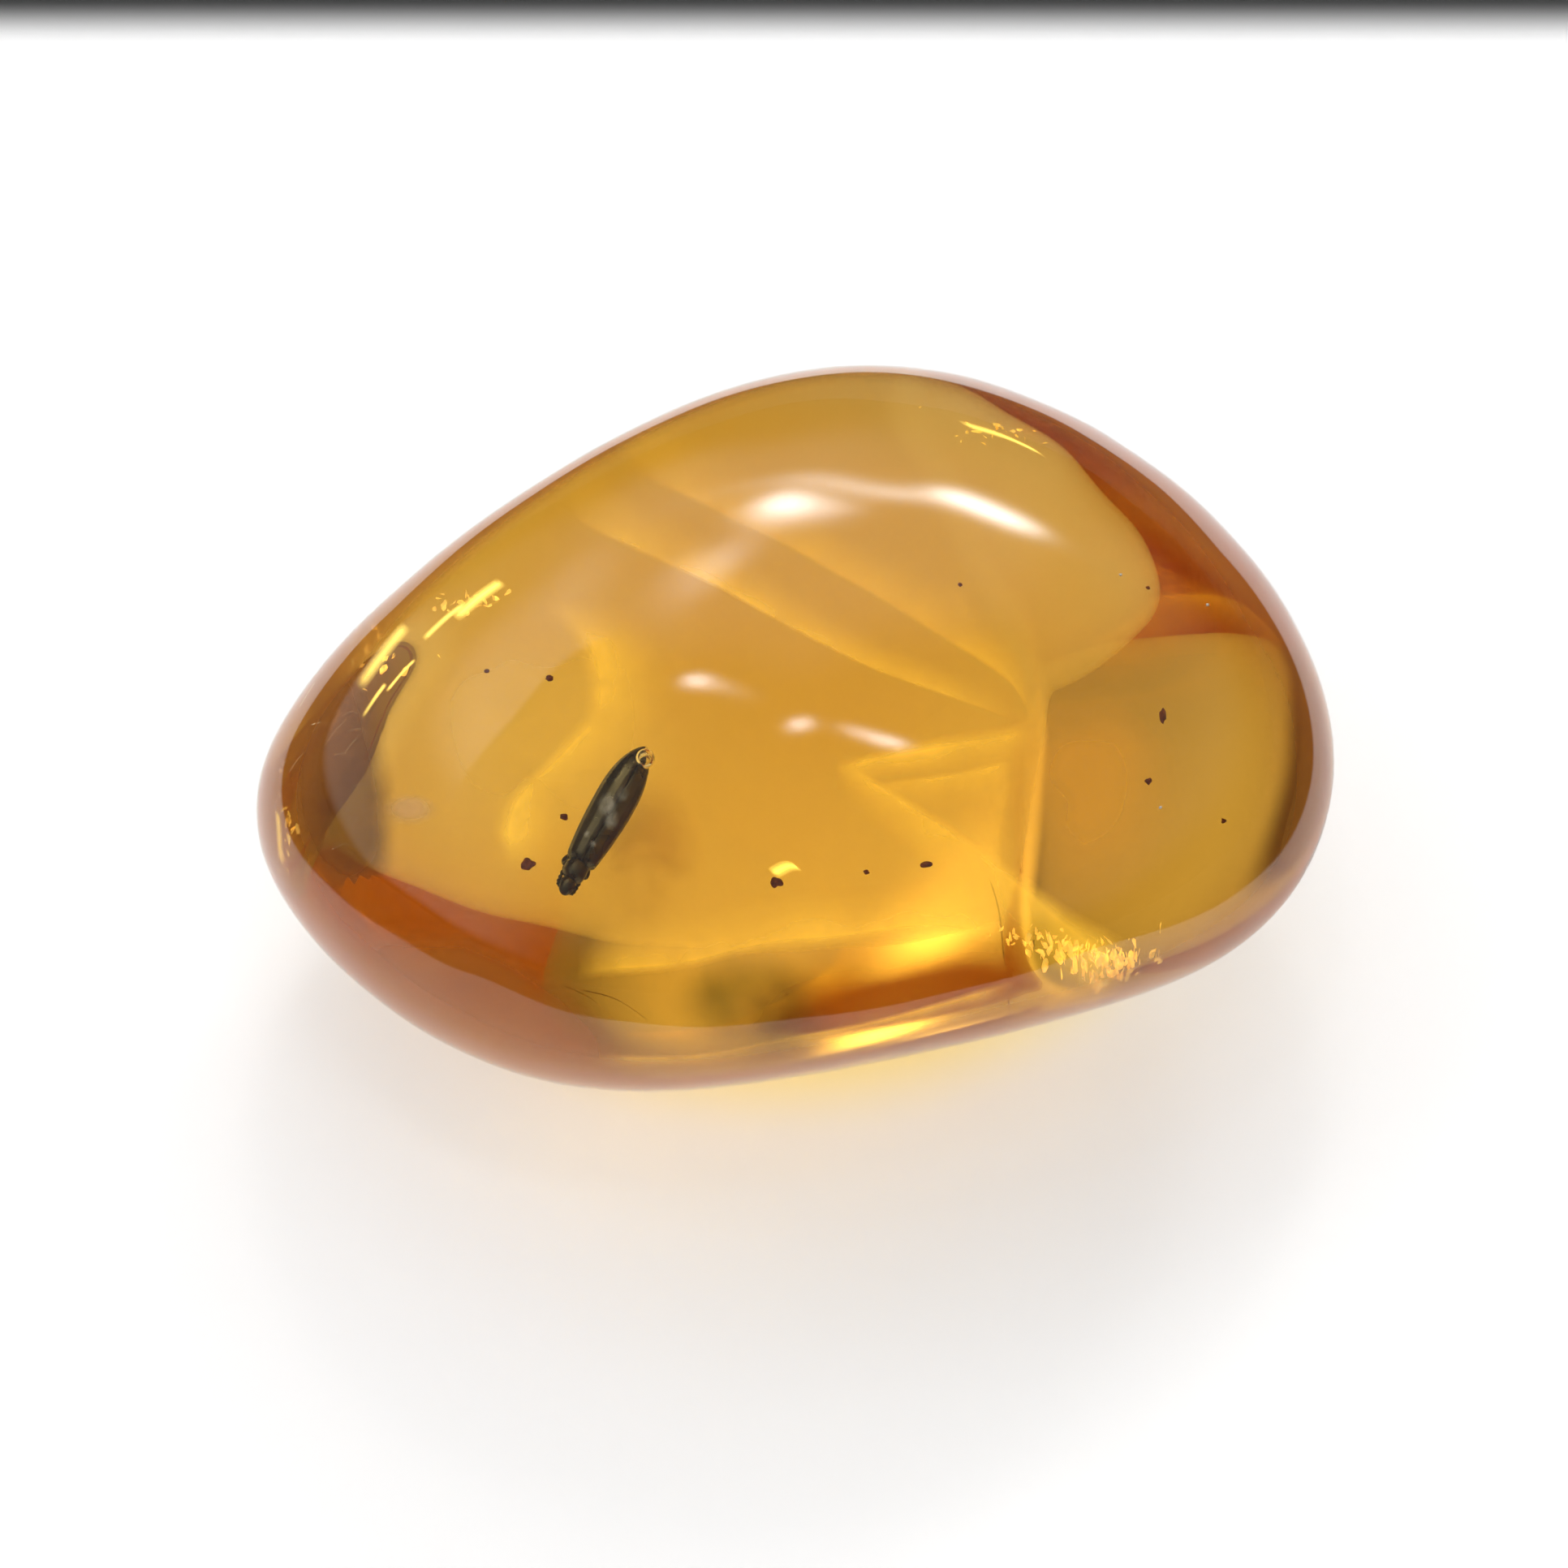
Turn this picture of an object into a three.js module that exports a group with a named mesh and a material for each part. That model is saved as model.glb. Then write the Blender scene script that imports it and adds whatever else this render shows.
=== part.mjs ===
// Insect in amber: one pebble of clear fossil resin, tumbled round and then rubbed flat underneath.
// It is a single closed body. Millimetres, +Z up. The origin is on the resting face, midway along
// the pebble's length and its depth, so the pebble lies on the plane z = 0.

import * as THREE from "three";
import { mergeVertices } from "three/addons/utils/BufferGeometryUtils.js";

// The rounded lump that wear starts from: half its length, depth and height.
const HALF_LENGTH = 14.5;
const HALF_DEPTH = 11.8;
const HALF_HEIGHT = 8.6;

// One end is fuller than the other: the share by which depth changes from the middle to an end.
// The height changes by half of that share.
const END_TAPER = -0.07;

// Turn of the lump's long axis about +Z, in degrees.
const LONG_AXIS_TURN = -9.2;

// Worn flats. Each faces a direction, given in degrees as an azimuth from +X towards +Y and an
// elevation above the horizontal. It lies at a distance from the lump's centre, and blends into
// the round of the lump over a softness. The last two are in millimetres.
const WORN_FLATS = [
  { name: "back left shoulder", azimuth: 129, elevation: 12, distance: 9.4, softness: 3.0 },
  { name: "front left side", azimuth: 227, elevation: -35, distance: 14.3, softness: 2.5 },
  { name: "front right side", azimuth: 285, elevation: -35, distance: 9.0, softness: 1.5 },
  { name: "right front underside", azimuth: -6, elevation: -60, distance: 7.2, softness: 0.3 },
  { name: "right back underside", azimuth: 33, elevation: -54, distance: 8.0, softness: 0.3 },
  { name: "left back underside", azimuth: 142, elevation: -36, distance: 8.9, softness: 0.3 },
];

// The ground resting face: its depth below the lump's centre, and the height over which the
// wall rounds into it.
const RESTING_DEPTH = 5.4;
const RESTING_FILLET = 0.3;

// How many times each edge of the starting icosahedron is divided, less one.
const SURFACE_DETAIL = 14;

// Polished amber, honey yellow.
const AMBER_COLOUR = 0xdba32d;
const AMBER_ROUGHNESS = 0.06;
const AMBER_OPACITY = 0.8;

// The unit vector for an azimuth and an elevation in degrees.
function direction(azimuth, elevation) {
  const around = THREE.MathUtils.degToRad(azimuth);
  const up = THREE.MathUtils.degToRad(elevation);
  return new THREE.Vector3(
    Math.cos(around) * Math.cos(up),
    Math.sin(around) * Math.cos(up),
    Math.sin(up),
  );
}

// Carries a point of the unit sphere to the rounded lump: an ellipsoid with tapered ends.
function roundLump(point) {
  const deeper = 1 + END_TAPER * point.x;
  const taller = 1 + 0.5 * END_TAPER * point.x;
  point.set(HALF_LENGTH * point.x, HALF_DEPTH * deeper * point.y, HALF_HEIGHT * taller * point.z);
  point.applyAxisAngle(new THREE.Vector3(0, 0, 1), THREE.MathUtils.degToRad(LONG_AXIS_TURN));
}

// Presses a point back behind a worn flat. Well inside it the point hardly moves; well outside
// it ends on the plane; between the two the surface bends over smoothly.
function wearFlat(point, flat) {
  const facing = direction(flat.azimuth, flat.elevation);
  const inside = (flat.distance - point.dot(facing)) / flat.softness;
  const kept = flat.softness * (Math.max(inside, 0) + Math.log1p(Math.exp(-Math.abs(inside))));
  point.addScaledVector(facing, inside * flat.softness - kept);
}

// Grinds a point to the resting plane. Within the fillet's height on either side of the plane
// a parabola joins the wall to it; lower than that, the point lies exactly on the plane.
function grindResting(point) {
  const below = -RESTING_DEPTH - point.z;
  if (below > RESTING_FILLET) {
    point.z = -RESTING_DEPTH;
  } else if (below > -RESTING_FILLET) {
    point.z += (below + RESTING_FILLET) ** 2 / (4 * RESTING_FILLET);
  }
}

// The pebble's closed surface, with its resting face at z = 0 and centred over the origin.
function pebbleGeometry() {
  const sphere = new THREE.IcosahedronGeometry(1, SURFACE_DETAIL);
  sphere.deleteAttribute("normal");
  sphere.deleteAttribute("uv");
  const geometry = mergeVertices(sphere);
  const places = geometry.getAttribute("position");
  const point = new THREE.Vector3();
  for (let i = 0; i < places.count; i += 1) {
    point.fromBufferAttribute(places, i);
    roundLump(point);
    WORN_FLATS.forEach((flat) => wearFlat(point, flat));
    grindResting(point);
    places.setXYZ(i, point.x, point.y, point.z);
  }
  geometry.computeBoundingBox();
  const centre = geometry.boundingBox.getCenter(new THREE.Vector3());
  geometry.translate(-centre.x, -centre.y, -geometry.boundingBox.min.z);
  geometry.computeVertexNormals();
  return geometry;
}

const amber = new THREE.MeshStandardMaterial({
  color: AMBER_COLOUR,
  roughness: AMBER_ROUGHNESS,
  metalness: 0,
  transparent: true,
  opacity: AMBER_OPACITY,
});

const pebble = new THREE.Mesh(pebbleGeometry(), amber);
pebble.name = "amber_pebble";

const insectInAmber = new THREE.Group();
insectInAmber.add(pebble);

export default insectInAmber;
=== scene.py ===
import math

import bpy
import numpy as np
from mathutils import Matrix, Vector


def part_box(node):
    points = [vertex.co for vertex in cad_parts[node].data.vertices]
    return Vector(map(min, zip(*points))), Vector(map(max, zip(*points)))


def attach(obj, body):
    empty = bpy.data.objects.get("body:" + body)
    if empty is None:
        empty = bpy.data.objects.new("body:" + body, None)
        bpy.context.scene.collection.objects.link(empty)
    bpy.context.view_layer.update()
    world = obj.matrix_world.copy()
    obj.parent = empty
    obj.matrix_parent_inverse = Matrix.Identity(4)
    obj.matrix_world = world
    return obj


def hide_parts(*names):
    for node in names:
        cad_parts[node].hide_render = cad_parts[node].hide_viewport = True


# An insect in amber: a polished pebble of clear fossil resin with a small beetle sealed in it.
# Lengths are written in millimetres and multiplied by MM where they enter a mesh.
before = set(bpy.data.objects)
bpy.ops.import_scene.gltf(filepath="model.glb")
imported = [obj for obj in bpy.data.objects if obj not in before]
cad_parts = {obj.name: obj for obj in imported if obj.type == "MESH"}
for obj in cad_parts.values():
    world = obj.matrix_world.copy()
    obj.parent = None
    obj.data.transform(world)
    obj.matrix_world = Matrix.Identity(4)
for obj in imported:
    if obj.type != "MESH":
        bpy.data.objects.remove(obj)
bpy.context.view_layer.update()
MM = 0.001


# ---- Camera ------------------------------------------------------------------------------------
# A long lens in front of the pebble, looking down on it, so that its outline is nearly that of a
# drawing. It aims a little in front of the pebble's middle.
VIEW_ELEVATION = math.radians(54)
VIEW_DISTANCE = 167.1
VIEW_TARGET = Vector((-0.3, -1.6, 5.8))
VIEW_LENS = 150

toward_camera = Vector((0, -math.cos(VIEW_ELEVATION), math.sin(VIEW_ELEVATION)))
camera_data = bpy.data.cameras.new("camera")
camera_data.lens = VIEW_LENS
camera_data.sensor_width = 36
camera_data.clip_start = 0.005
camera = bpy.data.objects.new("camera", camera_data)
camera.location = (VIEW_TARGET + toward_camera * VIEW_DISTANCE) * MM
camera.rotation_euler = toward_camera.to_track_quat("Z", "Y").to_euler()
bpy.context.scene.collection.objects.link(camera)
bpy.context.scene.camera = camera


# ---- Amber pebble ------------------------------------------------------------------------------
# The lump of fossil resin itself. It was tumbled round, rubbed to a few worn flats and one
# resting face, and polished to a wet gloss. It is clear, and takes its honey colour from depth.
LUMP_HALF = np.array([14.5, 11.8, 8.6])
END_TAPER = -0.07
LONG_AXIS_TURN = -9.2
WORN_FLATS = [
    # azimuth and elevation in degrees, distance and softness in millimetres
    (129, 12, 9.4, 3.0),   # back left shoulder
    (227, -35, 14.3, 2.5),  # front left side
    (285, -35, 9.0, 1.5),  # front right side
    (-6, -60, 7.2, 0.3),   # right front underside
    (33, -54, 8.0, 0.3),   # right back underside
    (142, -36, 8.9, 0.3),  # left back underside
]
RESTING_DEPTH = 5.4
RESTING_FILLET = 0.3
PEBBLE_GRID = 118
DIMPLE_HEIGHT = 0.012
AMBER_IOR = 1.54
AMBER_TINT = (0.91, 0.70, 0.0, 1)
AMBER_DENSITY = 135


def sphere_grid(count):
    """Unit sphere from a cube: each face is a grid of equal angles, so a grid line lies at the
    tangent of its angle, and every point is then divided by its length. Returns points, quads."""
    line = np.tan(np.linspace(-1, 1, count + 1) * math.pi / 4)
    u, v = np.meshgrid(line, line, indexing="ij")
    corner = (np.arange(count)[:, None] * (count + 1) + np.arange(count)).ravel()
    square = np.stack([corner, corner + count + 1, corner + count + 2, corner + 1], 1)
    points, quads = [], []
    for axis in range(3):
        for side in (1, -1):
            face = np.roll(np.stack([np.full_like(u, side), u, v], -1), axis, axis=-1)
            quads.append((square if side > 0 else square[:, ::-1]) + len(points) * u.size)
            points.append(face.reshape(-1, 3))
    points = np.concatenate(points)
    points /= np.linalg.norm(points, axis=1, keepdims=True)
    _, first, same = np.unique(np.round(points, 7), axis=0, return_index=True, return_inverse=True)
    return points[first], same.reshape(-1)[np.concatenate(quads)]


def facing(azimuth, elevation):
    """Unit vector for an azimuth from +X towards +Y and an elevation, in degrees."""
    around, up = math.radians(azimuth), math.radians(elevation)
    return np.array([math.cos(around) * math.cos(up), math.sin(around) * math.cos(up), math.sin(up)])


def pebble_surface(sphere):
    """The worn lump in millimetres. A unit sphere is stretched to an ellipsoid whose depth and
    height taper along its length, and turned about +Z. At each worn flat, the height above its
    plane becomes minus the soft maximum of zero and the depth below it. A parabola joins the
    wall to the resting plane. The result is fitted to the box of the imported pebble."""
    along = sphere[:, :1]
    taper = np.hstack([np.ones_like(along), 1 + END_TAPER * along, 1 + 0.5 * END_TAPER * along])
    turn = np.array(Matrix.Rotation(math.radians(LONG_AXIS_TURN), 3, "Z"))
    points = (sphere * LUMP_HALF * taper) @ turn.T
    for azimuth, elevation, distance, softness in WORN_FLATS:
        normal = facing(azimuth, elevation)
        above = points @ normal - distance
        kept = -softness * np.logaddexp(0, -above / softness)
        points = points + np.outer(kept - above, normal)
    below = -RESTING_DEPTH - points[:, 2]
    blend = (below + RESTING_FILLET) ** 2 / (4 * RESTING_FILLET)
    lift = np.where(below > RESTING_FILLET, below, np.where(below > -RESTING_FILLET, blend, 0))
    points[:, 2] += lift
    low, high = (np.array(corner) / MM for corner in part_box("amber_pebble"))
    own_low, own_high = points.min(0), points.max(0)
    return (points - own_low) / (own_high - own_low) * (high - low) + low


def hand_polish(points):
    """Lowers the upper surface by up to 3.2 times DIMPLE_HEIGHT in broad, shallow dimples: the
    sum of two products of slow slanted waves, which fades out towards the resting face."""
    x, y, z = points.T
    waves = np.sin(1.1 * x + 0.5 * y + 0.4) * np.sin(1.3 * y - 0.6 * x + 0.8 * z)
    waves = waves + 0.6 * np.sin(0.7 * x - 1.6 * y + 1.9) * np.sin(0.9 * z + 0.8 * x)
    fade = np.clip((z - 2) / 4, 0, 1)
    outward = points - np.array([0, 0, 6])
    outward /= np.linalg.norm(outward, axis=1, keepdims=True)
    return points + outward * (DIMPLE_HEIGHT * (waves - 1.6) * fade)[:, None]


def add_piece(name, points, faces, material, smooth=True):
    """A new mesh object from points in millimetres and equal-sided faces, riding on the body."""
    mesh = bpy.data.meshes.new(name)
    faces = faces.tolist() if isinstance(faces, np.ndarray) else faces
    mesh.from_pydata((np.asarray(points) * MM).tolist(), [], faces)
    mesh.polygons.foreach_set("use_smooth", np.full(len(faces), smooth))
    mesh.materials.append(material)
    mesh.update()
    piece = bpy.data.objects.new(name, mesh)
    bpy.context.scene.collection.objects.link(piece)
    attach(piece, "root")
    return piece


def add_node(tree, kind, inputs=None, **settings):
    """A node of this kind in a tree. Each input is a value, or a socket that is then linked."""
    made = tree.nodes.new(kind)
    for name, value in settings.items():
        setattr(made, name, value)
    for key, value in (inputs or {}).items():
        if isinstance(value, bpy.types.NodeSocket):
            tree.links.new(value, made.inputs[key])
        else:
            made.inputs[key].default_value = value
    return made


def new_material(name, **sockets):
    """A material with one Principled shader, and the plain values of its sockets."""
    material = bpy.data.materials.new(name)
    material.use_nodes = True
    shader = material.node_tree.nodes["Principled BSDF"]
    for key, value in sockets.items():
        shader.inputs[key.replace("_", " ")].default_value = value
    return material, material.node_tree, shader


amber, tree, shader = new_material("clear_amber", Roughness=0.0, IOR=AMBER_IOR)
shader.inputs["Transmission Weight"].default_value = 1
place = add_node(tree, "ShaderNodeTexCoord").outputs["Object"]
cloud = add_node(tree, "ShaderNodeTexNoise", {"Vector": place, "Scale": 160, "Detail": 0})
tone = add_node(tree, "ShaderNodeMix", {"Factor": cloud.outputs["Fac"]}, data_type="RGBA")
tone.inputs["A"].default_value = (1, 0.985, 0.95, 1)
tone.inputs["B"].default_value = (1, 1, 1, 1)
tree.links.new(tone.outputs["Result"], shader.inputs["Base Color"])
depth_colour = add_node(tree, "ShaderNodeVolumeAbsorption")
depth_colour.inputs["Color"].default_value = AMBER_TINT
depth_colour.inputs["Density"].default_value = AMBER_DENSITY
tree.links.new(depth_colour.outputs["Volume"], tree.nodes["Material Output"].inputs["Volume"])

sphere, quads = sphere_grid(PEBBLE_GRID)
pebble = add_piece("amber_pebble_fine", hand_polish(pebble_surface(sphere)), quads, amber)
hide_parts("amber_pebble")


# ---- Beetle ------------------------------------------------------------------------------------
# A small long beetle, about 4 mm, caught whole in the resin with its back towards the viewer.
# Its skin is glossy black chitin. Head, neck shield and the two wing cases are separate plates.
BEETLE_TAIL = np.array([-3.5, -2.8, 8.3])
BEETLE_NOSE = np.array([-5.35, -5.95, 7.7])
BEETLE_BACK = np.array([0.0, -0.59, 0.81])
CASE_HALF_WIDTH = 0.47
CASE_HEIGHT = 0.42
CASE_LENGTH = 3.2
GROOVE_DEPTH = 0.022
EYE_OFFSET = 0.145

forward = (BEETLE_NOSE - BEETLE_TAIL) / np.linalg.norm(BEETLE_NOSE - BEETLE_TAIL)
sideways = np.cross(forward, BEETLE_BACK)
sideways /= np.linalg.norm(sideways)
upward = np.cross(sideways, forward)
beetle_axes = np.stack([forward, sideways, upward])


def placed(points):
    """Points given as distance from the tail, to the side and up the back, put into the pebble."""
    return BEETLE_TAIL + np.asarray(points) @ beetle_axes


def skin_faces(rows, around):
    """Faces of a closed skin whose points are a first tip, rows of rings, and a last tip."""
    ring = np.arange(rows - 1)[:, None] * around + 1
    here = np.arange(around)
    after = (here + 1) % around
    quads = np.stack([ring + here, ring + after, ring + around + after, ring + around + here], -1)
    last = 1 + (rows - 1) * around
    first_fan = np.stack([np.zeros(around, int), after + 1, here + 1], -1)
    last_fan = np.stack([np.full(around, last + around), last + here, last + after], -1)
    return quads.reshape(-1, 4).tolist() + first_fan.tolist() + last_fan.tolist()


def plate(start, end, half_width, half_height, bluntness, lift=0.0, rows=28, around=36):
    """A closed body plate along the beetle. At a fraction t of its length the section is an
    ellipse whose half axes are scaled by (1 - |2t - 1| to the bluntness) to the power 0.6."""
    t = (1 - np.cos(np.linspace(0, math.pi, rows + 2)[1:-1])) / 2
    swell = (1 - np.abs(2 * t - 1) ** bluntness) ** 0.6
    angle = np.linspace(0, 2 * math.pi, around, endpoint=False)
    along = np.repeat(start + (end - start) * t, around)
    side = np.outer(swell * half_width, np.cos(angle)).ravel()
    up = np.outer(swell * half_height, np.sin(angle)).ravel() + lift
    tips = [[start, 0, lift]], [[end, 0, lift]]
    return placed(np.vstack([tips[0], np.stack([along, side, up], 1), tips[1]])), skin_faces(rows, around)


def wing_case(side, rows=70, around=48):
    """One wing case, a shallow closed shell over half of the back. Its section runs from the
    seam over the back down to the flank and returns inside. Its width is a power bow that
    narrows to the tail and a parabola that narrows to the neck, and fine cosine grooves run
    down its length."""
    t = (1 - np.cos(np.linspace(0, math.pi, rows + 2)[1:-1])) / 2
    bow = np.where(t < 0.45, 1 - np.abs((t - 0.45) / 0.45) ** 2.2, 1 - 0.42 * ((t - 0.45) / 0.55) ** 2)
    close = np.sqrt(np.clip((1 - t) / 0.06, 0, 1))
    width = CASE_HALF_WIDTH * bow ** 0.7 * close
    height = CASE_HEIGHT * bow ** 0.6 * close
    turn = np.linspace(0, 2, around, endpoint=False)
    outer = turn < 1
    angle = np.where(outer, turn, 2 - turn) * math.radians(104)
    shell = np.where(outer, 1.0 - GROOVE_DEPTH * np.cos(angle * 34) ** 2, 0.86)
    across = 0.012 + np.outer(width, np.sin(angle) * shell)
    up = np.outer(height, np.cos(angle) * shell)
    along = np.repeat(0.02 + CASE_LENGTH * t, around)
    tip_low = [[0.01, side * 0.02, 0.0]]
    tip_high = [[3.23, side * 0.05, 0.03]]
    body = np.stack([along, side * across.ravel(), up.ravel()], 1)
    faces = skin_faces(rows, around)
    if side < 0:
        faces = [face[::-1] for face in faces]
    return placed(np.vstack([tip_low, body, tip_high])), faces


def smooth_path(knots, count):
    """A curve through the knots by Catmull and Rom: a cubic between each two, whose slope at a
    knot is half the step between its neighbours."""
    knots = np.asarray(knots, float)
    whole = np.vstack([2 * knots[0] - knots[1], knots, 2 * knots[-1] - knots[-2]])
    t = np.linspace(0, len(knots) - 1, count)
    i = np.minimum(t.astype(int), len(knots) - 2)
    f = (t - i)[:, None]
    a, b, c, d = whole[i], whole[i + 1], whole[i + 2], whole[i + 3]
    return b + f * (c - a) / 2 + f**2 * (2 * a - 5 * b + 4 * c - d) / 2 + f**3 * (3 * b - a - 3 * c + d) / 2


def limb(knots, thick, thin, knots_swell, rows=40, around=10):
    """A jointed limb: rings round a smooth path, tapering from thick to thin, each swelling by a
    cosine between as many joints as knots_swell says. The rings stand on the path's own slope."""
    path = smooth_path(knots, rows)
    slope = np.gradient(path, axis=0)
    slope /= np.linalg.norm(slope, axis=1, keepdims=True)
    flat = np.cross(slope, [0.2, 0.1, 1.0])
    flat /= np.linalg.norm(flat, axis=1, keepdims=True)
    rise = np.cross(flat, slope)
    t = np.linspace(0, 1, rows)
    radius = (thick + (thin - thick) * t) * (1 - 0.22 * np.cos(2 * math.pi * knots_swell * t))
    angle = np.linspace(0, 2 * math.pi, around, endpoint=False)
    rings = flat[:, None] * np.cos(angle)[:, None] + rise[:, None] * np.sin(angle)[:, None]
    body = (path[:, None] + rings * radius[:, None, None]).reshape(-1, 3)
    ends = path[0] - slope[0] * radius[0] / 2, path[-1] + slope[-1] * radius[-1] / 2
    faces = [face[::-1] for face in skin_faces(rows, around)]
    return placed(np.vstack([ends[0], body, ends[1]])), faces


chitin, tree, shader = new_material("black_chitin", IOR=1.75)
place = add_node(tree, "ShaderNodeTexCoord").outputs["Object"]
pores = add_node(tree, "ShaderNodeTexNoise", {"Vector": place, "Scale": 9000, "Detail": 3})
blotch = add_node(tree, "ShaderNodeTexNoise", {"Vector": place, "Scale": 1900, "Detail": 2})
dusty = add_node(tree, "ShaderNodeMapRange", {"Value": blotch.outputs["Fac"]})
dusty.inputs["From Min"].default_value = 0.52
dusty.inputs["From Max"].default_value = 0.72
tone = add_node(tree, "ShaderNodeMix", {"Factor": dusty.outputs["Result"]}, data_type="RGBA")
tone.inputs["A"].default_value = (0.010, 0.006, 0.004, 1)
tone.inputs["B"].default_value = (0.045, 0.035, 0.025, 1)
tree.links.new(tone.outputs["Result"], shader.inputs["Base Color"])
sheen = add_node(tree, "ShaderNodeMapRange", {"Value": blotch.outputs["Fac"]})
sheen.inputs["To Min"].default_value = 0.16
sheen.inputs["To Max"].default_value = 0.42
tree.links.new(sheen.outputs["Result"], shader.inputs["Roughness"])
bump = add_node(tree, "ShaderNodeBump", {"Height": pores.outputs["Fac"]})
bump.inputs["Strength"].default_value = 0.5
bump.inputs["Distance"].default_value = 0.00001
tree.links.new(bump.outputs["Normal"], shader.inputs["Normal"])

add_piece("beetle_abdomen", *plate(0.05, 3.25, 0.37, 0.30, 3.0, -0.06), chitin)
add_piece("beetle_elytron_left", *wing_case(1), chitin)
add_piece("beetle_elytron_right", *wing_case(-1), chitin)
add_piece("beetle_pronotum", *plate(3.02, 3.58, 0.27, 0.25, 3.4), chitin)
add_piece("beetle_head", *plate(3.42, 3.92, 0.18, 0.16, 2.4, -0.02), chitin)
for side, word in ((1, "left"), (-1, "right")):
    eye = add_piece(f"beetle_eye_{word}", *plate(3.60, 3.74, 0.05, 0.05, 2.0, 0.03, 10, 14), chitin)
    eye.data.transform(Matrix.Translation(Vector(sideways * side * EYE_OFFSET * MM)))
    feeler = [(3.78, 0.10, -0.06), (3.70, 0.20, -0.12), (3.35, 0.22, -0.24), (2.9, 0.24, -0.32)]
    add_piece(f"beetle_antenna_{word}", *limb([(x, y * side, z) for x, y, z in feeler],
                                              0.035, 0.05, 9, 60), chitin)
    for number, hip in enumerate((3.0, 2.3, 1.8)):
        leg = [(hip, 0.10, -0.24), (hip + 0.18, 0.26, -0.30), (hip + 0.05, 0.30, -0.40),
               (hip - 0.35, 0.18, -0.42), (hip - 0.60, 0.12, -0.40)]
        add_piece(f"beetle_leg_{number + 1}_{word}", *limb([(x, y * side, z) for x, y, z in leg],
                                                            0.07, 0.025, 3), chitin)


# ---- Air bubble --------------------------------------------------------------------------------
# A bead of air that clings to the beetle's tail. The resin left it there as it closed over the
# beetle's back.
BUBBLE_MIDDLE = [-3.55, -3.45, 8.85]
BUBBLE_RADIUS = 0.22

bubble_air, tree, shader = new_material("bubble_air", IOR=0.65)
shader.inputs["Transmission Weight"].default_value = 1
place = add_node(tree, "ShaderNodeTexCoord").outputs["Object"]
film = add_node(tree, "ShaderNodeTexNoise", {"Vector": place, "Scale": 3000})
skin = add_node(tree, "ShaderNodeMapRange", {"Value": film.outputs["Fac"]})
skin.inputs["To Min"].default_value = 0.0
skin.inputs["To Max"].default_value = 0.05
tree.links.new(skin.outputs["Result"], shader.inputs["Roughness"])
bead, bead_quads = sphere_grid(10)
add_piece("air_bubble", bead * BUBBLE_RADIUS + BUBBLE_MIDDLE, bead_quads, bubble_air)


# ---- Specks ------------------------------------------------------------------------------------
# Crumbs of bark and droppings that the sticky resin picked up. They are dark grains, scattered
# singly through the pebble.
SPECKS = [
    # middle of the grain, and its half lengths
    ((-6.3, -6.0, 8.5), (0.20, 0.16, 0.14)),
    ((-5.4, -4.7, 8.5), (0.10, 0.09, 0.08)),
    ((-5.7, -1.1, 8.5), (0.11, 0.09, 0.08)),
    ((-7.1, -0.9, 8.5), (0.08, 0.06, 0.06)),
    ((-0.5, -6.5, 8.5), (0.17, 0.15, 0.12)),
    ((3.0, -6.0, 8.5), (0.17, 0.10, 0.09)),
    ((1.6, -6.2, 8.5), (0.08, 0.06, 0.06)),
    ((8.6, -1.9, 8.5), (0.10, 0.24, 0.08)),
    ((8.3, -3.7, 8.5), (0.11, 0.10, 0.08)),
    ((10.2, -4.2, 7.8), (0.08, 0.07, 0.06)),
    ((8.2, 1.5, 8.5), (0.06, 0.05, 0.05)),
    ((3.7, 1.2, 8.5), (0.06, 0.06, 0.05)),
    ((-10.6, -2.6, 6.0), (0.30, 0.22, 0.20)),
]
GRAIN_SCALE = 0.8


def grain_surface(ball, middle, half, seed):
    """A rough grain: a ball whose points are pushed in and out by three waves of random
    direction and phase, then stretched to its half lengths."""
    chance = np.random.default_rng(seed)
    waves = chance.normal(size=(3, 3)) * 3
    push = np.sin(ball @ waves.T + chance.uniform(0, 6, 3)).sum(1, keepdims=True)
    return ball * (1 + 0.13 * push) * half + middle


crumb, tree, shader = new_material("bark_crumb", Roughness=0.7)
place = add_node(tree, "ShaderNodeTexCoord").outputs["Object"]
mottle = add_node(tree, "ShaderNodeTexNoise", {"Vector": place, "Scale": 6000, "Detail": 3})
tone = add_node(tree, "ShaderNodeMix", {"Factor": mottle.outputs["Fac"]}, data_type="RGBA")
tone.inputs["A"].default_value = (0.08, 0.018, 0.004, 1)
tone.inputs["B"].default_value = (0.40, 0.09, 0.015, 1)
tree.links.new(tone.outputs["Result"], shader.inputs["Base Color"])
ball, ball_quads = sphere_grid(6)
for number, (middle, half) in enumerate(SPECKS):
    grain = grain_surface(ball, middle, np.array(half) * GRAIN_SCALE, 40 + number)
    add_piece(f"speck_{number + 1}", grain, ball_quads, crumb)


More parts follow.
